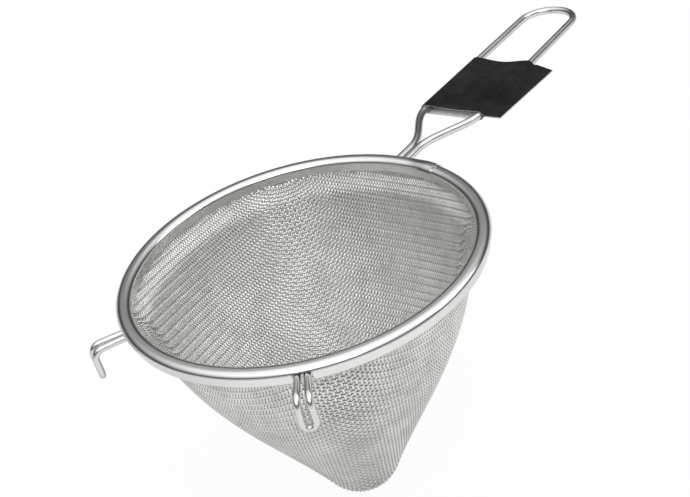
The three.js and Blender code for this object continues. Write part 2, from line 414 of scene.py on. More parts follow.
class Nodes:
    """A node tree with short ways to add and join nodes."""

    def __init__(self, tree: bpy.types.NodeTree) -> None:
        """Keep the tree to build in."""
        self.tree = tree

    def add(self, kind: str, **values: object) -> bpy.types.Node:
        """Add a node and set its properties or its inputs.

        Args:
            kind: Blender's node type.
            values: a property's name, or an input's name with _ for a space, and its value.
        Returns:
            The node.
        """
        node = self.tree.nodes.new(kind)
        for name, value in values.items():
            if hasattr(node, name):
                setattr(node, name, value)
            else:
                node.inputs[name.replace("_", " ")].default_value = value
        return node

    def join(self, source: Socket, target: Socket) -> None:
        """Link an output to an input."""
        self.tree.links.new(source, target)

    def feed(self, value: Value, target: Socket) -> None:
        """Link an output to an input, or set the input where a plain value is given.

        Args:
            value: the output or the value.
            target: the input.
        """
        if isinstance(value, Socket):
            self.join(value, target)
        else:
            target.default_value = value

    def reckon(self, operation: str, first: Socket, second: Value) -> Socket:
        """Work out one value from two.

        Args:
            operation: Blender's name of the operation.
            first: the output with the first value.
            second: the second value, or an output with it.
        Returns:
            The output with the result.
        """
        node = self.add("ShaderNodeMath", operation=operation)
        self.join(first, node.inputs[0])
        self.feed(second, node.inputs[1])
        return node.outputs[0]

    def remap(self, value: Socket, **limits: float) -> Socket:
        """Carry a value from one range over to another.

        Args:
            value: the output with the value.
            limits: From_Min, From_Max, To_Min and To_Max, where they are not 0 and 1.
        Returns:
            The output with the result.
        """
        node = self.add("ShaderNodeMapRange", **limits)
        self.join(value, node.inputs["Value"])
        return node.outputs[0]

    def blend(self, share: Socket, start: Value, end: Colour) -> Socket:
        """Mix two colours.

        Args:
            share: the output with the second colour's share.
            start: the first colour, or an output with it.
            end: the second colour.
        Returns:
            The output with the mixed colour.
        """
        node = self.add("ShaderNodeMix", data_type="RGBA")
        self.join(share, node.inputs["Factor"])
        self.feed(start, node.inputs["A"])
        node.inputs["B"].default_value = end
        return node.outputs["Result"]

    def noise(self, place: Socket, scale: Value, detail: float, roughness: float) -> Socket:
        """Add soft noise.

        Args:
            place: the output with the coordinates.
            scale: how fine it is, or an output with that.
            detail: how many finer layers lie on it.
            roughness: how strong the finer layers are.
        Returns:
            The output with the noise.
        """
        node = self.add("ShaderNodeTexNoise", Detail=detail, Roughness=roughness)
        self.join(place, node.inputs["Vector"])
        self.feed(scale, node.inputs["Scale"])
        return node.outputs["Fac"]

    def patches(self, handling: bpy.types.NodeTree, place: bpy.types.Node, scale: float) -> Socket:
        """Lay the patches from handling over a piece.

        Args:
            handling: the group of patches.
            place: the node with the coordinates.
            scale: how fine the patches are.
        Returns:
            The output with the patches.
        """
        node = self.add("ShaderNodeGroup", node_tree=handling, Scale=scale)
        self.join(place.outputs["Object"], node.inputs["Place"])
        return node.outputs["Patches"]

    def bump(self, height: Socket, strength: float, distance: float) -> Socket:
        """Turn heights into a bent normal.

        Args:
            height: the output with the heights.
            strength: the share of the effect.
            distance: the greatest height in metres.
        Returns:
            The output with the normal.
        """
        node = self.add("ShaderNodeBump", Strength=strength, Distance=distance)
        self.join(height, node.inputs["Height"])
        return node.outputs[0]


def new_look(name: str) -> tuple[bpy.types.Material, Nodes, bpy.types.NodeInputs]:
    """Start a material.

    Args:
        name: the material's name.
    Returns:
        The material, its nodes and the inputs of its shader.
    """
    look = bpy.data.materials.new(name)
    look.use_nodes = True
    return look, Nodes(look.node_tree), look.node_tree.nodes["Principled BSDF"].inputs


def new_group(name: str, inputs: dict[str, str], outputs: dict[str, str]) -> tuple[Nodes, dict, dict]:
    """Start a shader node group.

    Args:
        name: the group's name.
        inputs: socket types by name.
        outputs: socket types by name.
    Returns:
        The tree to build in, the sockets that bring the inputs and the sockets that take the outputs.
    """
    tree = bpy.data.node_groups.new(name, "ShaderNodeTree")
    for title, kind in inputs.items():
        tree.interface.new_socket(title, in_out="INPUT", socket_type=kind)
    for title, kind in outputs.items():
        tree.interface.new_socket(title, in_out="OUTPUT", socket_type=kind)
    nodes = Nodes(tree)
    source = nodes.add("NodeGroupInput")
    target = nodes.add("NodeGroupOutput")
    return nodes, source.outputs, target.inputs


def drawn_lines_group() -> bpy.types.NodeTree:
    """Fine lines along drawn or rolled metal: noise stretched along the first UV direction.

    Returns:
        The group.
    """
    inputs = {"Lengths": "NodeSocketVector", "Fineness": "NodeSocketFloat", "Stretch": "NodeSocketFloat"}
    nodes, given, wanted = new_group("drawn_lines", inputs, {"Lines": "NodeSocketFloat"})
    split = nodes.add("ShaderNodeSeparateXYZ")
    nodes.join(given["Lengths"], split.inputs[0])
    stretched = nodes.add("ShaderNodeCombineXYZ")
    nodes.join(nodes.reckon("DIVIDE", split.outputs["X"], given["Stretch"]), stretched.inputs["X"])
    nodes.join(split.outputs["Y"], stretched.inputs["Y"])
    lines = nodes.noise(stretched.outputs[0], given["Fineness"], detail=3.0, roughness=0.6)
    nodes.join(lines, wanted["Lines"])
    return nodes.tree


def handling_group(finer: float = 4.3, lowest: float = 0.12, highest: float = 0.38) -> bpy.types.NodeTree:
    """Broad soft patches from handling: two sizes of noise over the surface, multiplied.

    Args:
        finer: how many times finer the second noise is.
        lowest: the product that counts as no patch.
        highest: the product that counts as a full patch.
    Returns:
        The group.
    """
    inputs = {"Place": "NodeSocketVector", "Scale": "NodeSocketFloat"}
    nodes, given, wanted = new_group("handling", inputs, {"Patches": "NodeSocketFloat"})
    fine_scale = nodes.reckon("MULTIPLY", given["Scale"], finer)
    broad = nodes.noise(given["Place"], given["Scale"], detail=2.0, roughness=0.5)
    small = nodes.noise(given["Place"], fine_scale, detail=4.0, roughness=0.6)
    product = nodes.reckon("MULTIPLY", broad, small)
    nodes.join(nodes.remap(product, From_Min=lowest, From_Max=highest), wanted["Patches"])
    return nodes.tree


@dataclass(frozen=True)
class SteelFinish:
    """Bare stainless steel with lines from drawing, soft patches from handling, and painted shade that
    darkens the outer edges as they turn away from the view.
    """

    name: str
    bright: Colour
    dull: Colour
    smooth: float
    rough: float
    fineness: float
    stretch: float
    depth: float
    contour: float
    contour_start: float = 0.45
    contour_full: float = 0.9
    painted_edge_shade: Colour = (0.08, 0.08, 0.08, 1.0)
    line_height: float = 0.0001
    patch_scale: float = 24.0

    def material(self, lines: bpy.types.NodeTree, handling: bpy.types.NodeTree) -> bpy.types.Material:
        """Build the material.

        Args:
            lines: the group of drawn lines.
            handling: the group of patches.
        Returns:
            The material.
        """
        look, nodes, shader = new_look(self.name)
        shader["Metallic"].default_value = 1.0
        place = nodes.add("ShaderNodeTexCoord")
        drawn = nodes.add("ShaderNodeGroup", node_tree=lines, Fineness=self.fineness, Stretch=self.stretch)
        nodes.join(place.outputs["UV"], drawn.inputs["Lengths"])
        patches = nodes.patches(handling, place, self.patch_scale)
        tint = nodes.blend(drawn.outputs["Lines"], self.bright, self.dull)
        # Painted shade: the colour darkens towards near-black where the surface turns away from the view,
        # standing in for dark reflections along the edges.
        facing = nodes.add("ShaderNodeLayerWeight", Blend=0.5).outputs["Facing"]
        limits = {"From_Min": self.contour_start, "From_Max": self.contour_full, "To_Max": self.contour}
        shaded = nodes.blend(nodes.remap(facing, **limits), tint, self.painted_edge_shade)
        nodes.join(shaded, shader["Base Color"])
        nodes.join(nodes.remap(patches, To_Min=self.smooth, To_Max=self.rough), shader["Roughness"])
        nodes.join(nodes.bump(drawn.outputs["Lines"], self.depth, self.line_height), shader["Normal"])
        return look


@dataclass(frozen=True)
class ClothFinish:
    """Dull wire of the woven cloth, greyer in patches, with painted shade along its flat edges that stands
    in for the shaded gaps between the wires.
    """

    name: str = "cloth_wire"
    bright: Colour = (0.88, 0.875, 0.855, 1.0)
    dull: Colour = (0.72, 0.715, 0.695, 1.0)
    dark: Colour = (0.14, 0.14, 0.13, 1.0)
    dark_start: float = 0.6
    smooth: float = 0.48
    rough: float = 0.62
    patch_scale: float = 60.0

    def material(self, handling: bpy.types.NodeTree) -> bpy.types.Material:
        """Build the material.

        Args:
            handling: the group of patches.
        Returns:
            The material.
        """
        look, nodes, shader = new_look(self.name)
        shader["Metallic"].default_value = 1.0
        place = nodes.add("ShaderNodeTexCoord")
        patches = nodes.patches(handling, place, self.patch_scale)
        tint = nodes.blend(patches, self.bright, self.dull)
        # Painted shade: the wires' flat edges, marked 1 in the edge attribute, are darkened towards the dark
        # colour for the shade in the gaps between the wires.
        edge = nodes.add("ShaderNodeAttribute", attribute_name="edge").outputs["Fac"]
        gap_shaded = nodes.blend(nodes.remap(edge, From_Min=self.dark_start), tint, self.dark)
        nodes.join(gap_shaded, shader["Base Color"])
        nodes.join(nodes.remap(patches, To_Min=self.smooth, To_Max=self.rough), shader["Roughness"])
        return look


@dataclass(frozen=True)
class FilmFinish:
    """Black satin film outside, pale grey inside, with shallow ripples."""

    name: str = "sleeve_film"
    outside: Colour = (0.009, 0.009, 0.01, 1.0)
    worn: Colour = (0.024, 0.024, 0.026, 1.0)
    inside: Colour = (0.8, 0.8, 0.79, 1.0)
    shine: float = 0.08
    smooth: float = 0.3
    rough: float = 0.45
    ripple: float = 0.25
    ripple_scale: float = 55.0
    ripple_height: float = 0.002
    patch_scale: float = 30.0

    def material(self, handling: bpy.types.NodeTree) -> bpy.types.Material:
        """Build the material.

        Args:
            handling: the group of patches.
        Returns:
            The material.
        """
        look, nodes, shader = new_look(self.name)
        shader["Specular IOR Level"].default_value = self.shine
        place = nodes.add("ShaderNodeTexCoord")
        patches = nodes.patches(handling, place, self.patch_scale)
        black = nodes.blend(patches, self.outside, self.worn)
        side = nodes.add("ShaderNodeAttribute", attribute_name="inside").outputs["Fac"]
        nodes.join(nodes.blend(side, black, self.inside), shader["Base Color"])
        nodes.join(nodes.remap(patches, To_Min=self.smooth, To_Max=self.rough), shader["Roughness"])
        ripples = nodes.noise(place.outputs["Object"], self.ripple_scale, detail=1.0, roughness=0.5)
        nodes.join(nodes.bump(ripples, self.ripple, self.ripple_height), shader["Normal"])
        return look


STRIP = SteelFinish(
    name="rim_strip",
    bright=(0.86, 0.86, 0.85, 1.0),
    dull=(0.74, 0.74, 0.73, 1.0),
    smooth=0.1,
    rough=0.2,
    fineness=9000.0,
    stretch=400.0,
    depth=0.08,
    contour=0.25,
)
WIRE = SteelFinish(
    name="drawn_wire",
    bright=(0.8, 0.8, 0.79, 1.0),
    dull=(0.62, 0.62, 0.61, 1.0),
    smooth=0.16,
    rough=0.28,
    fineness=7000.0,
    stretch=300.0,
    depth=0.15,
    contour=0.8,
)


# Pieces


@dataclass
class Rim:
    """The folded strip, with its lap and the cuts for the wires, and the frame ring that it holds."""

    look: bpy.types.Material
    wire_look: bpy.types.Material
    lap_turn: float = -17.3
    lap_length: float = 14.0
    lap_hidden: float = 4.0
    lap_gap: float = 0.22
    lap_inside: float = 0.15
    crease: float = 0.35
    notch_corner: float = 0.5
    notch_margin: float = 0.7
    notch_steps: int = 13
    wall_steps: int = 8
    round_steps: int = 12
    ring_steps: int = 480
    wire_sides: int = 18

    def line(self) -> Array:
        """Middle line of the strip in (radius, level): outer wall, two rounded edges, inner wall.

        Under each edge of the cap the wall is set in, with a short crease.

        Returns:
            The line, one point to a row.
        """
        s = SIZES
        edge = math.radians(s.cap_edge)
        level = s.rim_top - s.cap_radius
        middle = s.cap_radius - s.sheet / 2
        wall_top = level + s.cap_radius * math.sin(edge) - s.wall_inset
        outer_round = np.linspace(edge, np.pi / 2, self.round_steps)
        inner_round = np.linspace(np.pi / 2, np.pi - edge, self.round_steps)
        outer_foot = np.array([s.outer_wall - s.wall_lean, s.outer_wall_end])
        outer_head = np.array([s.outer_wall, wall_top - self.crease])
        inner_head = np.array([s.inner_wall, wall_top - self.crease])
        inner_foot = np.array([s.inner_wall, s.inner_wall_end])
        outer_middle = np.array([s.rim_radius - s.cap_radius, level])
        inner_middle = np.array([s.rim_radius - s.rim_width + s.cap_radius, level])
        return np.concatenate([
            drawn_curve([outer_foot, outer_head], self.wall_steps),
            [[s.outer_wall, wall_top]],
            outer_middle + middle * np.stack([np.cos(outer_round), np.sin(outer_round)], axis=1),
            inner_middle + middle * np.stack([np.cos(inner_round), np.sin(inner_round)], axis=1),
            [[s.inner_wall, wall_top]],
            drawn_curve([inner_head, inner_foot], self.wall_steps),
        ])

    def turns(self) -> Array:
        """Angles along the strip: even steps, with closer ones at the edges of the cuts.

        Returns:
            Angles in degrees, rising from the lap's upper end to the end hidden under it.
        """
        start = self.lap_turn
        end = start + 360 + math.degrees(self.lap_hidden / SIZES.rim_radius)
        even = np.linspace(start, end, self.ring_steps)
        margin = np.linspace(-self.notch_margin, self.notch_margin, self.notch_steps)
        close = [even]
        for turn, half in self.notches():
            for edge in (-half, half):
                close.append((turn + edge - start) % 360 + start + margin)
        return np.unique(np.round(np.concatenate(close), 4))

    def notches(self) -> list[tuple[float, float]]:
        """Cuts in the outer wall for the hooks and the handle.

        Returns:
            Middle and half width of each cut, in degrees.
        """
        s = SIZES
        hook = math.degrees((s.hook_root_half + s.hook_wire / 2 + s.notch_gap) / s.rim_radius)
        handle = math.degrees((s.handle_wire + s.fit_gap / 2 + s.notch_gap) / s.rim_radius)
        return [(s.left_hook_turn, hook), (s.right_hook_turn, hook), (0.0, handle)]

    def lift(self, turns: Array) -> Array:
        """How high the outer wall's lower edge is lifted by the cuts, at each angle.

        Args:
            turns: angles along the strip in degrees.
        Returns:
            Heights in millimetres.
        """
        s = SIZES
        corner = math.degrees(self.notch_corner / s.rim_radius)
        height = np.zeros_like(turns)
        for (turn, half), wire in zip(self.notches(), (s.hook_wire, s.hook_wire, s.handle_wire)):
            away = np.abs((turns - turn + 180) % 360 - 180)
            top = s.wire_level + wire / 2 + s.notch_gap - s.outer_wall_end
            height = np.maximum(height, top * (1 - ease(away, half - corner, half + corner)))
        return height

    def strip(self) -> Array:
        """The strip's grid: its section turned about +Z, lifted in the cuts, raised where it laps itself.

        On the inner wall the lap is raised by a smaller share, because there it lies nearly flush.

        Returns:
            The grid, one ring round the strip's section to a row.
        """
        s = SIZES
        line = self.line()
        turns = self.turns()
        along = unit(np.gradient(line, axis=0))
        out = np.stack([along[:, 1], -along[:, 0]], axis=1)
        skin = np.concatenate([line + out * s.sheet / 2, (line - out * s.sheet / 2)[::-1]])
        outward = np.concatenate([out, out[::-1]])
        head = s.rim_top - s.cap_radius + s.cap_radius * math.sin(math.radians(s.cap_edge))
        on_outer_wall = (skin[:, 0] > s.frame_radius) & (skin[:, 1] < head)
        on_inner_wall = (skin[:, 0] < s.frame_radius) & (skin[:, 1] < head)
        reach = head - s.outer_wall_end
        share = np.where(on_outer_wall, (head - skin[:, 1]) / reach, 0.0)
        lift = np.minimum(self.lift(turns), reach)
        sink_start = self.lap_turn + math.degrees(self.lap_hidden / s.rim_radius)
        sink_end = sink_start + math.degrees(self.lap_length / s.rim_radius)
        rise = (s.sheet + self.lap_gap) * (1 - ease(turns, sink_start, sink_end))
        raised = rise[:, None] * np.where(on_inner_wall, self.lap_inside, 1.0)[None]
        radius = skin[None, :, 0] + raised * outward[None, :, 0]
        level = skin[None, :, 1] + share[None] * lift[:, None] + raised * outward[None, :, 1]
        angle = np.radians(turns)[:, None]
        return np.stack([radius * np.cos(angle), radius * np.sin(angle), level], axis=-1)

    def ring(self) -> Array:
        """The frame ring's grid: a circle of wire at the frame's radius and level.

        Returns:
            The grid, one ring round the wire to a row.
        """
        s = SIZES
        turn = np.linspace(0, 2 * np.pi, self.ring_steps // 2, endpoint=False)[:, None]
        around = np.linspace(0, 2 * np.pi, self.wire_sides, endpoint=False)[None]
        radius = s.frame_radius + s.frame_wire / 2 * np.cos(around)
        level = s.wire_level + s.frame_wire / 2 * np.sin(around) + 0 * turn
        return np.stack([radius * np.cos(turn), radius * np.sin(turn), level], axis=-1)

    def build(self) -> None:
        """Make the strip and the frame ring."""
        strip = Sweep(self.strip(), cap=EndCap.LADDER).make("rim_strip")
        settle(strip, Body.STRAINER, "rim_band", self.look)
        ring = Sweep(self.ring(), rows_closed=True).make("frame_wire")
        settle(ring, Body.STRAINER, "frame_ring", self.wire_look)


@dataclass
class Basket:
    """The cone of woven wire: a square cloth drawn down over a cone, sheared between four meridians."""

    look: bpy.types.Material
    depth: float = 149.3
    shoulder_bend: float = 2.0
    shoulder_in: float = 5.6
    shoulder_drop: float = 7.1
    wall_push: float = 11.0
    tip_radius: float = 21.8
    pitch: float = 2.07
    wire: float = 1.0
    flattening: float = 1.4
    widening: float = 1.05
    hem_wire: float = 0.45
    hem_length: float = 4.7
    hem_fade: float = 2.5
    first_meridian: float = 45.0
    wide_settling: float = 24.0
    narrow_settling: float = 6.3
    tip_fade: float = 40.0
    tip_steps: int = 60
    wall_steps: int = 40
    rounds: int = 8
    steps_per_pitch: int = 2
    sides: int = 6
    sharp: float = 60.0

    def line(self) -> Array:
        """Middle line of the cloth in (radius, level), from the tip up to the hem in the channel.

        A circle at the tip, a cubic curve for the wall, a short shoulder, and a straight hem.

        Returns:
            The line, one point to a row.
        """
        s = SIZES
        hem_end = s.inner_wall_end - self.shoulder_bend
        top = np.array([s.hem_radius - self.shoulder_in, hem_end - self.shoulder_drop])
        radius = self.tip_radius - s.cloth / 2
        centre = np.array([0.0, s.rim_top - self.depth + self.tip_radius])
        reach = top - centre
        slope = math.atan2(reach[0], reach[1]) - math.asin(radius / math.hypot(*reach))
        out = np.array([math.cos(slope), -math.sin(slope)])
        foot = centre + radius * out
        third = (foot - top) / 3
        upper = top + third + self.wall_push * out
        lower = foot - third
        shoulder = unit(np.array([-self.shoulder_in, -self.shoulder_drop])) * self.shoulder_bend
        wall_top = top + unit(upper - top) * self.shoulder_bend
        hem = np.array([s.hem_radius, hem_end])
        hem_start = np.array([s.hem_radius, hem_end + self.shoulder_bend])
        hem_top = np.array([s.hem_radius, s.wire_level + s.frame_wire / 2])
        turn = np.linspace(-np.pi / 2, -slope, self.tip_steps)
        tip = centre + radius * np.stack([np.cos(turn), np.sin(turn)], axis=1)
        wall = drawn_curve([foot, lower, upper, wall_top], self.wall_steps)
        wall_bend = drawn_curve([wall_top, top, top - shoulder], self.wall_steps)
        hem_bend = drawn_curve([hem + shoulder, hem, hem_start], self.wall_steps)
        return np.concatenate([tip, wall[1:], wall_bend[1:], hem_bend, hem_top[None]])

    def give_way(self, across: Array, width: Array, spread: Array) -> tuple[Array, Array]:
        """How the wires give way beside a meridian that they cross.

        Args:
            across: distance from the meridian in the flat cloth.
            width: distance over which the wires bend over.
            spread: how much wider apart they lie on the meridian, as a share.
        Returns:
            The widened distance, and how far the bend carries a wire along the meridian.
        """
        level = np.tanh(across / width)
        widened = across + spread * width * level
        rounded = width * np.logaddexp(across / width, -across / width) - across
        return widened, rounded + spread * width * (1 - level)

    def place(self, u: Array, v: Array) -> tuple[Array, Array]:
        """Where a point of the flat cloth comes to lie, and the distance from the tip along the line.

        In each quarter the wires run parallel to the two meridians beside it, at the angle that the
        unrolled cone leaves for a quarter: distance² = u² + v² + 2uv·cos(angle), and the turn follows from
        the same triangle. Beside those meridians the wires bend over to cross them squarely, where they
        also lie wider apart. The angle depends on the distance, so both are found in a few rounds.

        Args:
            u: distance across one set of wires in the flat cloth.
            v: distance across the other set.
        Returns:
            The cloth's turn about +Z in radians, and the distance along the line.
        """
        line = self.line()
        length = running_length(line)
        near_u, near_v = np.abs(u), np.abs(v)
        distance = np.hypot(u, v)
        fade = distance / (distance + self.tip_fade) + TINY
        for _ in range(self.rounds):
            radius = np.interp(distance, length, line[:, 0])
            angle = np.pi / 2 * np.where(distance > 1, radius / np.maximum(distance, 1), 1.0)
            spread = self.widening / np.sin(angle) - 1
            settled_u, corner_u = self.give_way(near_u, self.narrow_settling * fade, spread)
            settled_v, corner_v = self.give_way(near_v, self.wide_settling * fade, spread)
            side_u = settled_u + np.cos(angle) * corner_v
            side_v = settled_v + np.cos(angle) * corner_u
            distance = np.sqrt(side_u**2 + side_v**2 + 2 * np.cos(angle) * side_u * side_v)
        share = np.arctan2(side_v * np.sin(angle), side_u + side_v * np.cos(angle)) / angle
        quarter = share * np.pi / 2
        turn = np.arctan2(np.sign(v) * np.sin(quarter), np.sign(u) * np.cos(quarter))
        return turn + math.radians(self.first_meridian), distance

    def points(self, turn: Array, distance: Array, height: Array) -> tuple[Array, Array]:
        """Points on the cloth's surface, and its outward normals.

        Args:
            turn: turn about +Z in radians.
            distance: distance from the tip along the line.
            height: height above the middle of the cloth.
        Returns:
            Points and normals.
        """
        line = self.line()
        length = running_length(line)
        along = unit(np.gradient(line, length, axis=0))
        beyond = np.maximum(distance - length[-1], 0)
        radius = np.interp(distance, length, line[:, 0])
        level = np.interp(distance, length, line[:, 1]) + beyond
        out_r = np.interp(distance, length, along[:, 1])
        out_z = -np.interp(distance, length, along[:, 0])
        normal = unit(np.stack([out_r * np.cos(turn), out_r * np.sin(turn), out_z], axis=-1))
        middle = np.stack([radius * np.cos(turn), radius * np.sin(turn), level], axis=-1)
        return middle + height[..., None] * normal, normal

    def wires(self, crosswise: bool, half: int) -> tuple[Array, list[list[int]]]:
        """All wires of one set on one side of the cloth's middle, each a thin tube with closed ends.

        A wire's height above the cloth's middle is half its thickness times cos(π·(across + along) / pitch),
        with the other sign in the other set, so that the two sets pass over and under each other. The wires
        are rolled flat: their width is their thickness times the flattening.

        Args:
            crosswise: which of the two sets.
            half: 1 or -1, the side of the cloth's middle.
        Returns:
            The points and the faces.
        """
        total = running_length(self.line())[-1]
        count = int(total / self.pitch) + 2
        number = half * (np.arange(count) + 0.5)
        steps = count * self.steps_per_pitch
        run = np.arange(-steps, steps + 1) / self.steps_per_pitch
        across, along = np.meshgrid(number * self.pitch, run * self.pitch, indexing="ij")
        weave = np.cos(np.pi * (across + along) / self.pitch)
        sign = -1.0 if crosswise else 1.0
        u, v = (along, across) if crosswise else (across, along)
        turn, distance = self.place(u, v)
        hem = ease(distance, total - self.hem_length - self.hem_fade, total - self.hem_length)
        radius = (self.wire + (self.hem_wire - self.wire) * hem) / 2
        middle, normal = self.points(turn, distance, sign * radius * weave)
        tangent = unit(np.gradient(middle, axis=1))
        side = unit(np.cross(tangent, normal))
        up = np.cross(side, tangent)
        angle = np.linspace(0, 2 * np.pi, self.sides, endpoint=False)
        flat = self.flattening * np.cos(angle)
        ring = flat[:, None] * side[..., None, :] + np.sin(angle)[:, None] * up[..., None, :]
        grid = middle[..., None, :] + radius[..., None, None] * ring
        return self.tubes(grid, distance <= total)

    def tubes(self, grid: Array, inside: Array) -> tuple[Array, list[list[int]]]:
        """Keep the rings inside the cloth's edge and face them, with a flat face at each end of a wire.

        Args:
            grid: rings by wire and station.
            inside: which stations belong to the cloth.
        Returns:
            The points and the faces.
        """
        sides = self.sides
        order = np.cumsum(inside.ravel()).reshape(inside.shape) - 1
        joined = inside[:, :-1] & inside[:, 1:]
        first = order[:, :-1][joined][:, None] * sides
        second = order[:, 1:][joined][:, None] * sides
        corner = np.arange(sides)[None]
        after = (corner + 1) % sides
        corners = [first + corner, first + after, second + after, second + corner]
        quads = np.stack(corners, axis=-1).reshape(-1, 4)
        starts = inside & ~np.pad(inside, ((0, 0), (1, 0)))[:, :-1]
        stops = inside & ~np.pad(inside, ((0, 0), (0, 1)))[:, 1:]
        front = order[starts][:, None] * sides + corner[:, ::-1]
        back = order[stops][:, None] * sides + corner
        vertices = grid[inside].reshape(-1, 3)
        if enclosed_volume(vertices, quads) < 0:
            quads, front, back = quads[:, ::-1], front[:, ::-1], back[:, ::-1]
        return vertices, quads.tolist() + front.tolist() + back.tolist()

    def build(self) -> None:
        """Make the wires as four pieces, two to each set, with 1 marked at the edges of each flat wire."""
        edge = np.abs(np.cos(np.linspace(0, 2 * np.pi, self.sides, endpoint=False)))
        for crosswise, title in ((False, "warp"), (True, "weft")):
            for half, part in ((1, "one"), (-1, "two")):
                vertices, faces = self.wires(crosswise, half)
                obj = make_object(f"cloth_{title}_{part}", vertices, faces, self.sharp)
                # The edge mark is where the cloth finish paints shade along the wires' flat edges.
                add_mark(obj, "edge", np.tile(edge, len(vertices) // self.sides))
                settle(obj, Body.STRAINER, "mesh_basket", self.look)


@dataclass
class Hook:
    """One hairpin hook: two legs out of the rim, a bend downwards, and a loop."""

    look: bpy.types.Material
    name: str
    node: str
    turn: float
    reach: float = 16.4
    drop: float = 11.2
    bend: float = 4.5
    loop_half: float = 3.0
    stations: int = 140
    sides: int = 18

    def path(self) -> Array:
        """Middle line of the wire: one half from rim to loop, and its mirror image back.

        Returns:
            The line, one point to a row.
        """
        s = SIZES
        bend_start = s.rim_radius + self.reach - s.hook_wire / 2 - self.bend
        run = bend_start - s.wire_tail
        bend = np.pi / 2 * self.bend
        legs = run + bend + self.drop - self.bend
        whole = legs + np.pi / 2 * self.loop_half
        share = np.linspace(-1, 1, self.stations)
        distance = (1 - np.abs(share)) * whole
        along = np.minimum(distance, legs)
        half = s.hook_root_half + (self.loop_half - s.hook_root_half) * along / legs
        bent = np.clip((along - run) / self.bend, 0, np.pi / 2)
        fall = np.maximum(along - run - bend, 0)
        sweep = np.maximum(distance - legs, 0) / self.loop_half
        out = s.wire_tail + np.minimum(along, run) + self.bend * np.sin(bent)
        across = -np.sign(share) * half * np.cos(sweep)
        level = s.wire_level - self.bend * (1 - np.cos(bent)) - fall - self.loop_half * np.sin(sweep)
        angle = math.radians(self.turn)
        x = out * math.cos(angle) - across * math.sin(angle)
        y = out * math.sin(angle) + across * math.cos(angle)
        return np.stack([x, y, level], axis=1)

    def build(self) -> None:
        """Make the hook."""
        obj = Sweep(tube(self.path(), SIZES.hook_wire / 2, self.sides)).make(self.name)
        settle(obj, Body.STRAINER, self.node, self.look)


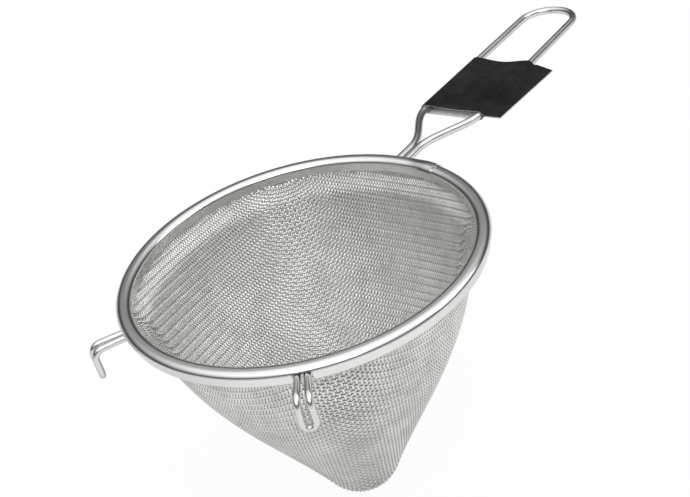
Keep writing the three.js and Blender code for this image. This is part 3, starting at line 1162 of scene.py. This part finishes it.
@dataclass
class Handle:
    """The hairpin handle and the film sleeve on it."""

    look: bpy.types.Material
    film_look: bpy.types.Material
    reach: float = 186.0
    loop_half: float = 16.5
    flare_half: float = 17.4
    flare_start: float = 13.0
    flare_length: float = 40.0
    sleeve_start: float = 52.5
    sleeve_length: float = 59.0
    film: float = 0.3
    flap_near: float = 10.0
    flap_far: float = 14.0
    flap_gap: float = 0.08
    flap_trim: float = 6.0
    trim_start: float = 5.0
    sag_near: float = 0.6
    sag_far: float = 1.8
    sag_below: float = 0.4
    skew: float = 1.6
    stations: int = 420
    sides: int = 20
    film_stations: int = 60
    flap_steps: int = 12
    climb_steps: int = 8
    cross_steps: int = 30
    round_steps: int = 20

    def half_width(self, x: Array) -> Array:
        """Half the distance between the legs: together at the rim, flared, then narrowing to the loop.

        Args:
            x: distance from the strainer's middle.
        Returns:
            Half distances between the legs' middles.
        """
        s = SIZES
        pair_half = (s.handle_wire + s.fit_gap) / 2
        flare = s.rim_radius + self.flare_start
        flare_end = flare + self.flare_length
        loop_centre = s.rim_radius + self.reach - s.handle_wire / 2 - self.loop_half
        along = np.clip((x - flare_end) / (loop_centre - flare_end), 0, 1)
        narrowed = self.flare_half + (self.loop_half - self.flare_half) * along
        return pair_half + (narrowed - pair_half) * ease(x, flare, flare_end)

    def path(self) -> Array:
        """Middle line of the wire: one leg out, a half circle, the other leg back.

        Returns:
            The line, one point to a row.
        """
        s = SIZES
        loop_centre = s.rim_radius + self.reach - s.handle_wire / 2 - self.loop_half
        legs = loop_centre - s.wire_tail
        whole = legs + np.pi / 2 * self.loop_half
        share = np.linspace(-1, 1, self.stations)
        distance = (1 - np.abs(share)) * whole
        x = s.wire_tail + np.minimum(distance, legs)
        sweep = np.maximum(distance - legs, 0) / self.loop_half
        across = -np.sign(share) * self.half_width(x) * np.cos(sweep)
        level = np.full_like(x, s.wire_level)
        return np.stack([x + self.loop_half * np.sin(sweep), across, level], axis=1)

    def film_line(self, share: Array) -> tuple[Array, Array]:
        """Middle line of the film across the handle at each station along it, in (across, level).

        From the flap's edge over the right leg, with a sag to the left leg, half round it, and back below.

        Args:
            share: stations along the sleeve, 0 at the rim's end and 1 at the loop's.
        Returns:
            Across and level, one row to a station.
        """
        s = SIZES
        radius = s.handle_wire / 2 + s.fit_gap + self.film / 2
        half = self.half_width(s.rim_radius + self.sleeve_start + share * self.sleeve_length)[:, None]
        gap = (self.film + self.flap_gap) / 2
        root = half + math.sqrt(2) * radius - gap
        flap = (self.flap_near + share * (self.flap_far - self.flap_near))[:, None]
        sag = (self.sag_near + share**2 * (self.sag_far - self.sag_near))[:, None]
        one = np.ones_like(half)
        flat = np.linspace(1, 0, self.flap_steps)[None]
        climb = np.linspace(3 * np.pi / 4, np.pi / 2, self.climb_steps)[None]
        cross = np.linspace(-1, 1, self.cross_steps)[None, 1:-1]
        round_left = np.linspace(np.pi / 2, -np.pi / 2, self.round_steps)[None]
        curve = (1 - cross**2) ** 2
        upper_y = [-root - flap * flat, -half + radius * np.cos(climb), cross * half]
        upper_z = [gap * (one + 0 * flat), radius * np.sin(climb) * one, radius - sag * curve]
        around_y = half + radius * np.cos(round_left)
        around_z = radius * np.sin(round_left) * one
        lower_y = [part[:, ::-1] for part in upper_y[::-1]]
        below = radius - self.sag_below * sag * curve
        lower_z = [-part[:, ::-1] for part in (below, upper_z[1], upper_z[0])]
        y = np.concatenate([*upper_y, around_y, *lower_y], axis=1)
        z = np.concatenate([*upper_z, around_z, *lower_z], axis=1)
        return y, z

    def sleeve(self) -> tuple[Array, Array]:
        """The film's grid: its middle line with half its thickness to both sides, carried along the handle.

        Returns:
            The grid, and 1 at each point on the inside.
        """
        s = SIZES
        share = np.linspace(0, 1, self.film_stations)
        y, z = self.film_line(share)
        along = unit(np.stack([np.gradient(y, axis=1), np.gradient(z, axis=1)], axis=-1))
        out_y, out_z = -along[..., 1], along[..., 0]
        past = np.clip((-y - self.flare_half - self.trim_start) / self.flap_far, 0, 1)
        skewed = self.skew * np.clip((self.flare_half - y) / (2 * self.flare_half), 0, 1)
        start = s.rim_radius + self.sleeve_start - skewed
        x = start + share[:, None] * (self.sleeve_length + skewed - self.flap_trim * past)
        half = self.film / 2
        outer = np.stack([x, y + half * out_y, z + half * out_z + s.wire_level], axis=-1)
        inner = np.stack([x, y - half * out_y, z - half * out_z + s.wire_level], axis=-1)
        grid = np.concatenate([outer, inner[:, ::-1]], axis=1)
        inside = np.zeros(grid.shape[:2])
        inside[:, outer.shape[1] :] = 1.0
        return grid, inside

    def build(self) -> None:
        """Make the wire and the sleeve."""
        wire = Sweep(tube(self.path(), SIZES.handle_wire / 2, self.sides)).make("handle_loop")
        settle(wire, Body.STRAINER, "handle_wire", self.look)
        grid, inside = self.sleeve()
        film = Sweep(grid, cap=EndCap.LADDER, marks={"inside": inside}).make("sleeve_film")
        settle(film, Body.SLEEVE, "label_sleeve", self.film_look)


# Studio


@dataclass(frozen=True)
class Lamp:
    """A square soft lamp that faces the basket: its place and side in metres, its power in watts."""

    name: str
    place: tuple[float, float, float]
    watts: float
    side: float = 0.7
    aim: tuple[float, float, float] = (0.0, 0.0, -0.04)

    def build(self) -> None:
        """Hang the lamp and turn it towards its aim."""
        data = bpy.data.lights.new(self.name, "AREA")
        data.size = self.side
        data.energy = self.watts
        obj = bpy.data.objects.new(self.name, data)
        obj.location = self.place
        obj.rotation_mode = "QUATERNION"
        obj.rotation_quaternion = (Vector(self.aim) - Vector(self.place)).to_track_quat("-Z", "Y")
        bpy.context.scene.collection.objects.link(obj)


LAMPS = (
    Lamp("key_lamp", (-0.55, -0.5, 0.9), 3.2),
    Lamp("fill_lamp", (0.6, -0.7, 0.8), 3.0),
)


@dataclass
class Studio:
    """Pale floor, soft light and the camera, in metres and degrees. The dome is greys by height, 0 to 1."""

    floor_level: float = -0.146
    floor_half: float = 6.0
    floor_grey: Colour = (0.9, 0.9, 0.9, 1.0)
    floor_rough: float = 0.9
    floor_white: float = 0.94
    floor_mirrored: float = 0.2
    horizon: float = 0.4
    overhead: float = 1.0
    dome: tuple[tuple[float, float], ...] = (
        (0.1, 0.4),
        (0.18, 0.06),
        (0.4, 0.08),
        (0.57, 0.42),
        (0.82, 0.95),
    )
    bright_side: tuple[float, float, float] = (-0.7, -0.7, 0.0)
    weakest: float = 0.9
    strongest: float = 1.65
    camera_place: tuple[float, float, float] = (-0.32338, -0.32638, 0.28457)
    camera_aim: tuple[float, float, float] = (0.624489, 0.576233, -0.527228)
    camera_roll: float = -15.22
    lens: float = 60.0
    sensor: float = 36.0
    nearest: float = 0.01

    def floor(self) -> None:
        """A wide flat floor that shows as white and keeps a soft shadow."""
        half = self.floor_half
        level = self.floor_level
        corners = [(-half, -half, level), (half, -half, level), (half, half, level), (-half, half, level)]
        mesh = bpy.data.meshes.new("floor")
        mesh.from_pydata(corners, [], [(0, 1, 2, 3)])
        obj = bpy.data.objects.new("floor", mesh)
        bpy.context.scene.collection.objects.link(obj)
        mesh.materials.append(self.paper())

    def paper(self) -> bpy.types.Material:
        """The floor's material: matt grey that shines white to the camera and weakly into mirrors.

        Returns:
            The material.
        """
        look, nodes, shader = new_look("floor_paper")
        shader["Base Color"].default_value = self.floor_grey
        shader["Roughness"].default_value = self.floor_rough
        shader["Specular IOR Level"].default_value = 0.0
        seen = nodes.add("ShaderNodeLightPath").outputs
        bounced = nodes.reckon("MAXIMUM", seen["Is Glossy Ray"], seen["Is Transmission Ray"])
        direct = nodes.reckon("MULTIPLY", seen["Is Camera Ray"], self.floor_white)
        mirrored = nodes.reckon("MULTIPLY", bounced, self.floor_mirrored)
        glow = nodes.add("ShaderNodeEmission", Strength=1.0)
        mix = nodes.add("ShaderNodeMixShader")
        nodes.join(nodes.reckon("MAXIMUM", direct, mirrored), mix.inputs[0])
        nodes.join(look.node_tree.nodes["Principled BSDF"].outputs[0], mix.inputs[1])
        nodes.join(glow.outputs[0], mix.inputs[2])
        nodes.join(mix.outputs[0], look.node_tree.nodes["Material Output"].inputs["Surface"])
        return look

    def sky(self) -> None:
        """A dome of light: pale at the horizon, then a dark band, white overhead.

        It is brighter on the camera's side. The camera itself sees it white.
        """
        world = bpy.data.worlds.new("dome")
        bpy.context.scene.world = world
        world.use_nodes = True
        nodes = Nodes(world.node_tree)
        place = nodes.add("ShaderNodeTexCoord").outputs["Generated"]
        split = nodes.add("ShaderNodeSeparateXYZ")
        nodes.join(place, split.inputs[0])
        ramp = nodes.add("ShaderNodeValToRGB")
        stops = ramp.color_ramp.elements
        stops[0].color = (self.horizon, self.horizon, self.horizon, 1.0)
        stops[1].color = (self.overhead, self.overhead, self.overhead, 1.0)
        for height, grey in self.dome:
            stops.new(height).color = (grey, grey, grey, 1.0)
        nodes.join(split.outputs["Z"], ramp.inputs[0])
        light = world.node_tree.nodes["Background"]
        nodes.join(ramp.outputs[0], light.inputs["Color"])
        facing = nodes.add("ShaderNodeVectorMath", operation="DOT_PRODUCT")
        facing.inputs[1].default_value = self.bright_side
        nodes.join(place, facing.inputs[0])
        limits = {"From_Min": -1.0, "To_Min": self.weakest, "To_Max": self.strongest}
        nodes.join(nodes.remap(facing.outputs["Value"], **limits), light.inputs["Strength"])
        white = nodes.add("ShaderNodeBackground", Color=(1.0, 1.0, 1.0, 1.0), Strength=1.0)
        mix = nodes.add("ShaderNodeMixShader")
        nodes.join(nodes.add("ShaderNodeLightPath").outputs["Is Camera Ray"], mix.inputs[0])
        nodes.join(light.outputs[0], mix.inputs[1])
        nodes.join(white.outputs[0], mix.inputs[2])
        nodes.join(mix.outputs[0], world.node_tree.nodes["World Output"].inputs["Surface"])

    def camera(self) -> None:
        """The camera where the photograph was taken from, turned about its own axis as there."""
        data = bpy.data.cameras.new("camera")
        data.lens = self.lens
        data.sensor_width = self.sensor
        data.sensor_fit = "HORIZONTAL"
        data.clip_start = self.nearest
        obj = bpy.data.objects.new("camera", data)
        obj.location = self.camera_place
        obj.rotation_mode = "QUATERNION"
        level = Vector(self.camera_aim).to_track_quat("-Z", "Y")
        obj.rotation_quaternion = level @ Quaternion((0, 0, 1), math.radians(self.camera_roll))
        bpy.context.scene.collection.objects.link(obj)
        bpy.context.scene.camera = obj

    def build(self) -> None:
        """Make floor, light and camera."""
        bpy.context.scene.view_settings.view_transform = "Standard"
        self.floor()
        self.sky()
        for lamp in LAMPS:
            lamp.build()
        self.camera()


def main() -> None:
    """Build the strainer piece by piece, then the studio round it."""
    logging.basicConfig(level=logging.INFO, format="%(name)s: %(message)s")
    lines = drawn_lines_group()
    handling = handling_group()
    strip_look = STRIP.material(lines, handling)
    wire_look = WIRE.material(lines, handling)
    cloth_look = ClothFinish().material(handling)
    film_look = FilmFinish().material(handling)
    Rim(strip_look, wire_look).build()
    Basket(cloth_look).build()
    Hook(wire_look, "hook_wire_left", "hook_left", SIZES.left_hook_turn).build()
    Hook(wire_look, "hook_wire_right", "hook_right", SIZES.right_hook_turn).build()
    Handle(wire_look, film_look).build()
    Studio().build()


if __name__ == "__main__":
    main()
